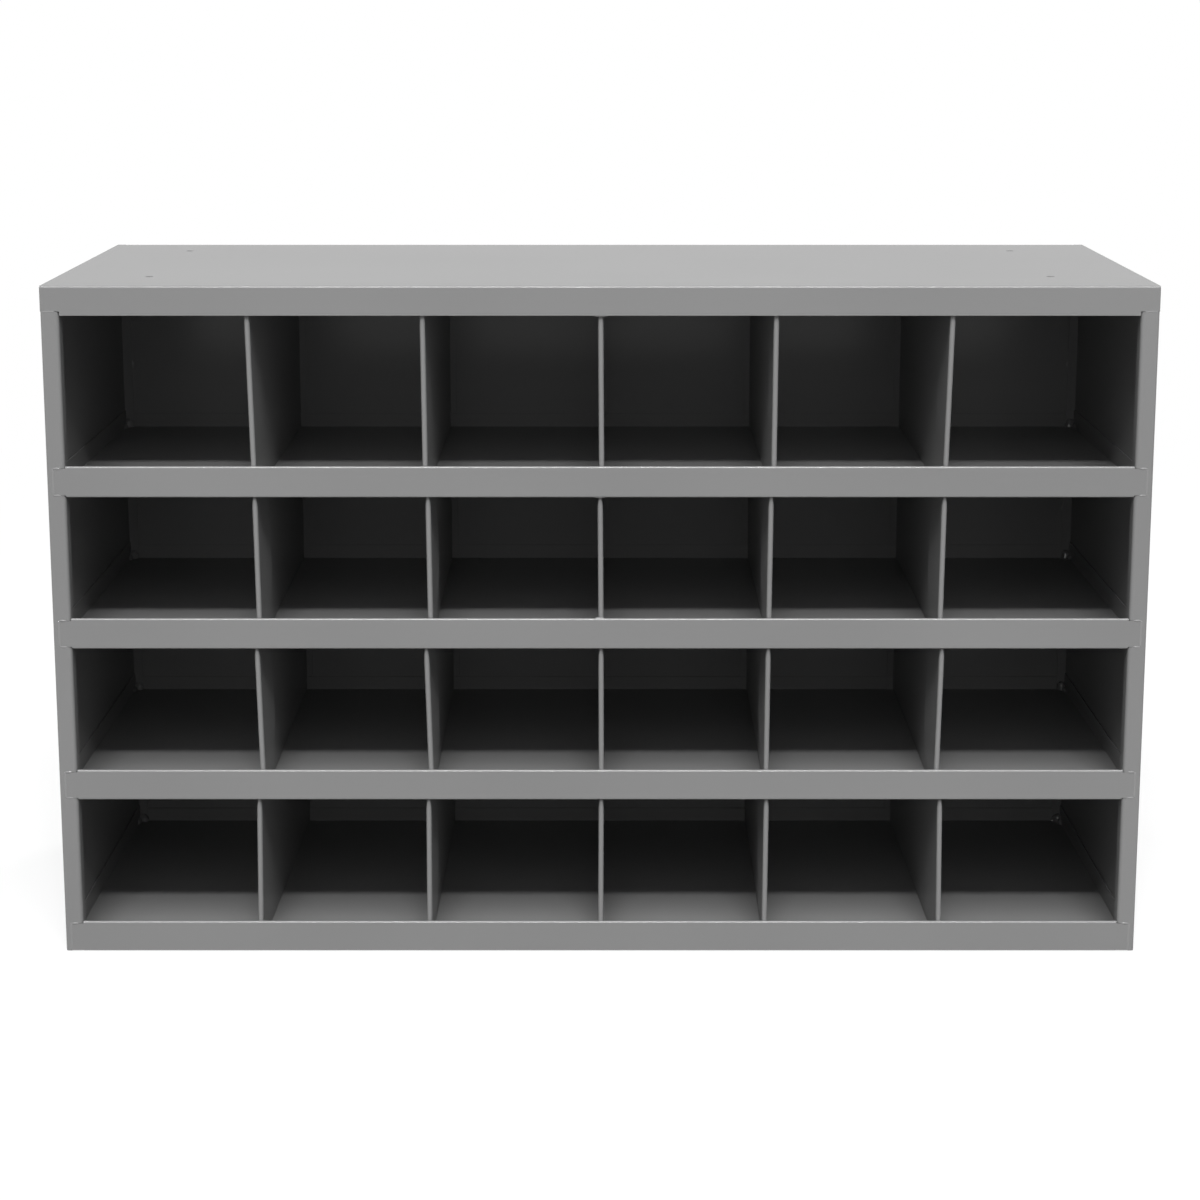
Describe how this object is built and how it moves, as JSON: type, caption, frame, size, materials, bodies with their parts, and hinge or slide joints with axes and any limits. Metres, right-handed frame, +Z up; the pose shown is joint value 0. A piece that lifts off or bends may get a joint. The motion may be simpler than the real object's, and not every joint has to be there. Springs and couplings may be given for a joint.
{
  "type": "pigeonhole bin",
  "caption": "Open-fronted steel pigeonhole bin: a folded case with lipped shelf pans and hemmed dividers that make rows of openings.",
  "frame": {"origin": "middle of the base, on the surface that the case stands on", "axes": "+X along the width, to the right as seen from the front; -Y out of the open front; +Z up"},
  "size_m": [0.8572, 0.3048, 0.5369],
  "materials": {
    "grey_enamel": "semi-gloss grey baked enamel"
  },
  "bodies": {
    "root": {"top_panel": "grey_enamel", "left_side_panel": "grey_enamel", "right_side_panel": "grey_enamel", "back_panel": "grey_enamel", "bottom_shelf": "grey_enamel", "lower_shelf": "grey_enamel", "middle_shelf": "grey_enamel", "upper_shelf": "grey_enamel", "bottom_divider_1": "grey_enamel", "bottom_divider_2": "grey_enamel", "bottom_divider_3": "grey_enamel", "bottom_divider_4": "grey_enamel", "bottom_divider_5": "grey_enamel", "lower_divider_1": "grey_enamel", "lower_divider_2": "grey_enamel", "lower_divider_3": "grey_enamel", "lower_divider_4": "grey_enamel", "lower_divider_5": "grey_enamel", "middle_divider_1": "grey_enamel", "middle_divider_2": "grey_enamel", "middle_divider_3": "grey_enamel", "middle_divider_4": "grey_enamel", "middle_divider_5": "grey_enamel", "upper_divider_1": "grey_enamel", "upper_divider_2": "grey_enamel", "upper_divider_3": "grey_enamel", "upper_divider_4": "grey_enamel", "upper_divider_5": "grey_enamel"}
  },
  "joints": []
}
